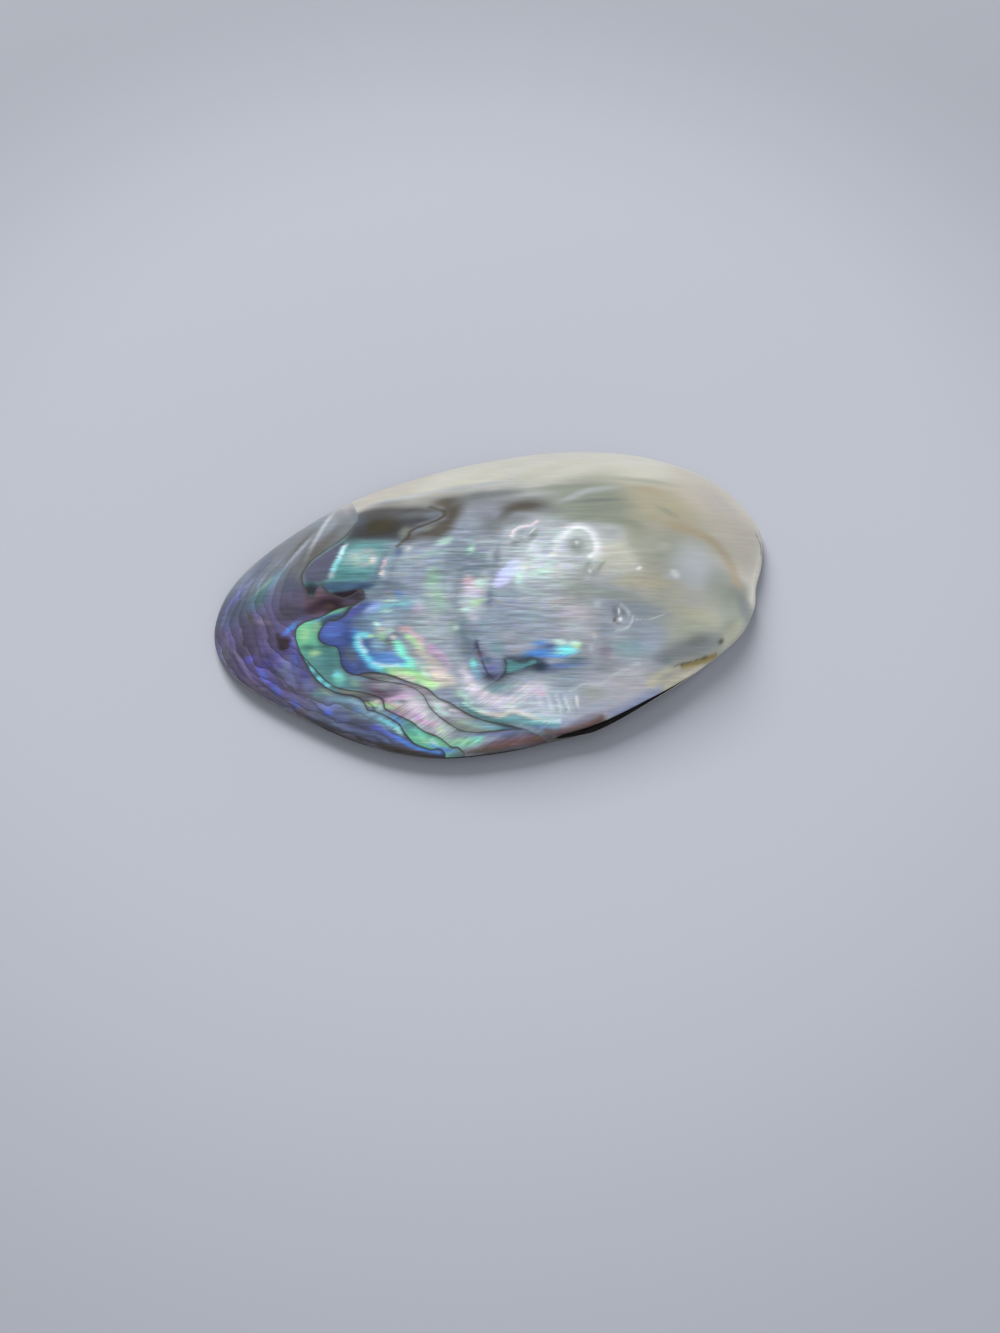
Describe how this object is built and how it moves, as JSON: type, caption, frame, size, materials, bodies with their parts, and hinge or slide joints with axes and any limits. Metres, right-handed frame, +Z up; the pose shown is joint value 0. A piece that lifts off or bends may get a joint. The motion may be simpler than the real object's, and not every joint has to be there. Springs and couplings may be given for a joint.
{
  "type": "pearl oyster shell",
  "caption": "Polished iridescent bivalve shell half, domed and hollow below, with a dark ligament along its hinge edge, lying dome up.",
  "frame": {"origin": "on the surface that the valve lies on, below the middle of its outline", "axes": "+Z up through the dome, +X along the valve to the beak end, -Y to the hinge side, +Y to the belly margin"},
  "size_m": [0.15, 0.093, 0.0257],
  "materials": {
    "nacre": "polished nacre, iridescent from cream to blue, green and violet",
    "ligament": "dry, glossy, black brown, horny"
  },
  "bodies": {
    "root": {"valve": "nacre", "ligament": "ligament"}
  },
  "joints": []
}
